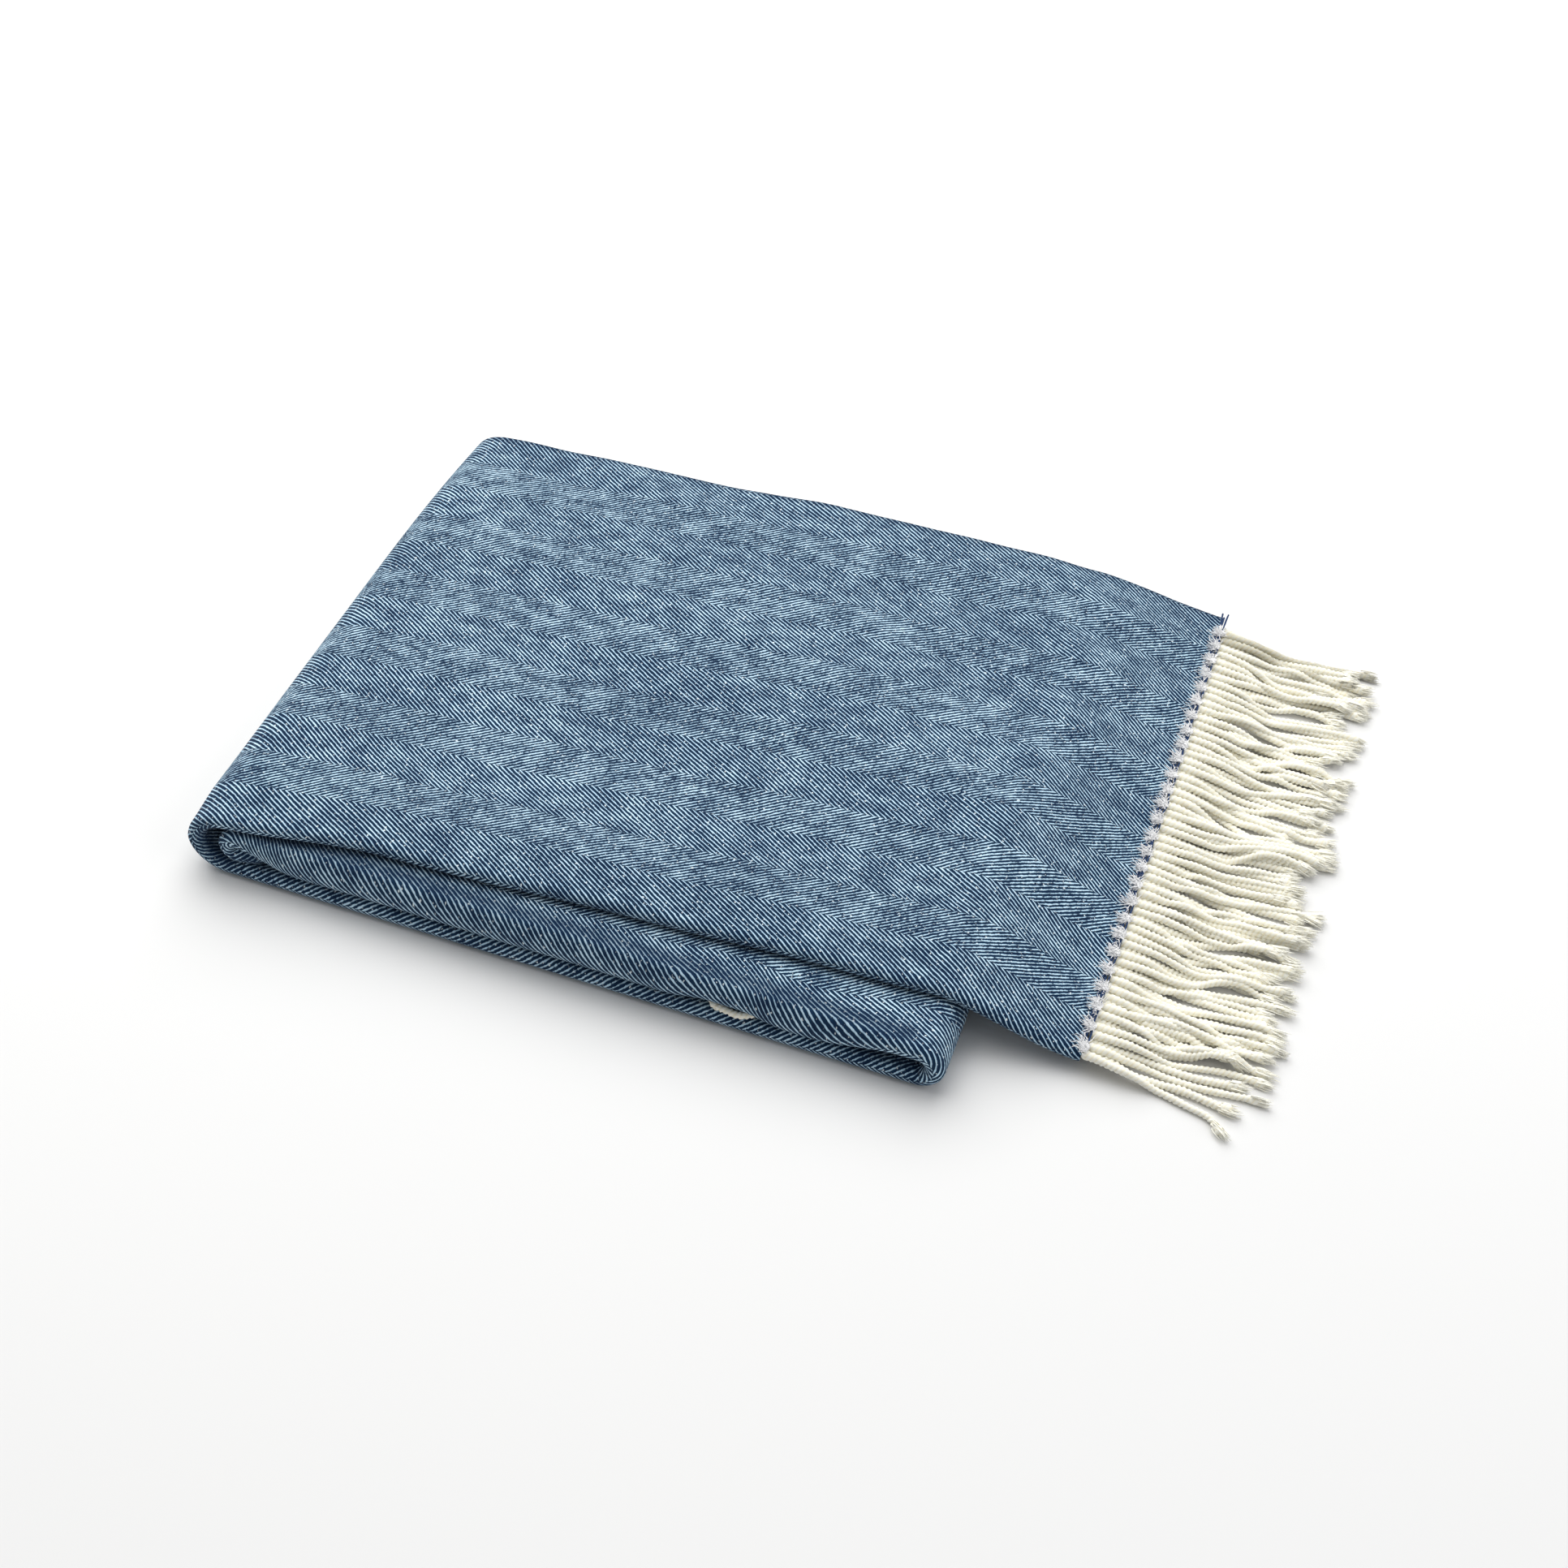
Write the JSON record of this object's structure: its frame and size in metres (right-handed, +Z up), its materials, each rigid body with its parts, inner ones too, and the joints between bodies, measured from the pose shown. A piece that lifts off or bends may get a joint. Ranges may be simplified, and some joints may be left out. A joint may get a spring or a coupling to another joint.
{
  "type": "folded throw blanket",
  "caption": "Woven herringbone throw blanket, folded into a flat stack of layers, whose fringed end hangs over one side and whose top layer opens about its outer fold.",
  "frame": {"origin": "centre of the bounding box's bottom face, on the surface that the blanket rests on", "axes": "+X along the layers towards the fringe, +Y from the rolled front edges to the selvedge, +Z up"},
  "size_m": [0.5296, 0.3488, 0.0417],
  "materials": {
    "woven_cloth": "herringbone twill in denim blue and off-white, matt",
    "fringe_yarn": "twisted ivory yarn, matt and slightly fuzzy",
    "hem_thread": "dark navy edge stitches between white tufts, matt"
  },
  "bodies": {
    "folded_stack": {"bottom_layer": "woven_cloth", "right_fold": "woven_cloth", "middle_layer": "woven_cloth", "inner_fold": "woven_cloth", "inner_layer": "woven_cloth", "left_fold_lower": "woven_cloth", "inner_hem_stitching": "hem_thread", "inner_fringe": "fringe_yarn"},
    "top_layer": {"left_fold_upper": "woven_cloth", "top_layer": "woven_cloth"},
    "fringed_end": {"overhang": "woven_cloth", "hem_stitching": "hem_thread", "lower_fringe": "fringe_yarn", "tassel_01": "fringe_yarn", "tassel_02": "fringe_yarn", "tassel_03": "fringe_yarn", "tassel_04": "fringe_yarn", "tassel_05": "fringe_yarn", "tassel_06": "fringe_yarn", "tassel_07": "fringe_yarn", "tassel_08": "fringe_yarn", "tassel_09": "fringe_yarn", "tassel_10": "fringe_yarn", "tassel_11": "fringe_yarn", "tassel_12": "fringe_yarn", "tassel_13": "fringe_yarn", "tassel_14": "fringe_yarn", "tassel_15": "fringe_yarn", "tassel_16": "fringe_yarn", "tassel_17": "fringe_yarn", "tassel_18": "fringe_yarn", "tassel_19": "fringe_yarn", "tassel_20": "fringe_yarn", "tassel_21": "fringe_yarn", "tassel_22": "fringe_yarn", "tassel_23": "fringe_yarn", "tassel_24": "fringe_yarn", "tassel_25": "fringe_yarn", "tassel_26": "fringe_yarn", "tassel_27": "fringe_yarn", "tassel_28": "fringe_yarn"}
  },
  "joints": [
    {"name": "top_fold", "type": "hinge", "parent": "folded_stack", "child": "top_layer", "pos_m": [-0.26476, 0, 0.02085], "axis": [0, -1, 0], "range_deg": [0, 180]},
    {"name": "end_droop", "type": "hinge", "parent": "top_layer", "child": "fringed_end", "pos_m": [0.12539, 0, 0.0382], "axis": [0, -1, 0], "range_deg": [0, 13]}
  ],
  "couplings": [
    {"joint": "end_droop", "follows": "top_fold", "ratio": 0.072222}
  ]
}
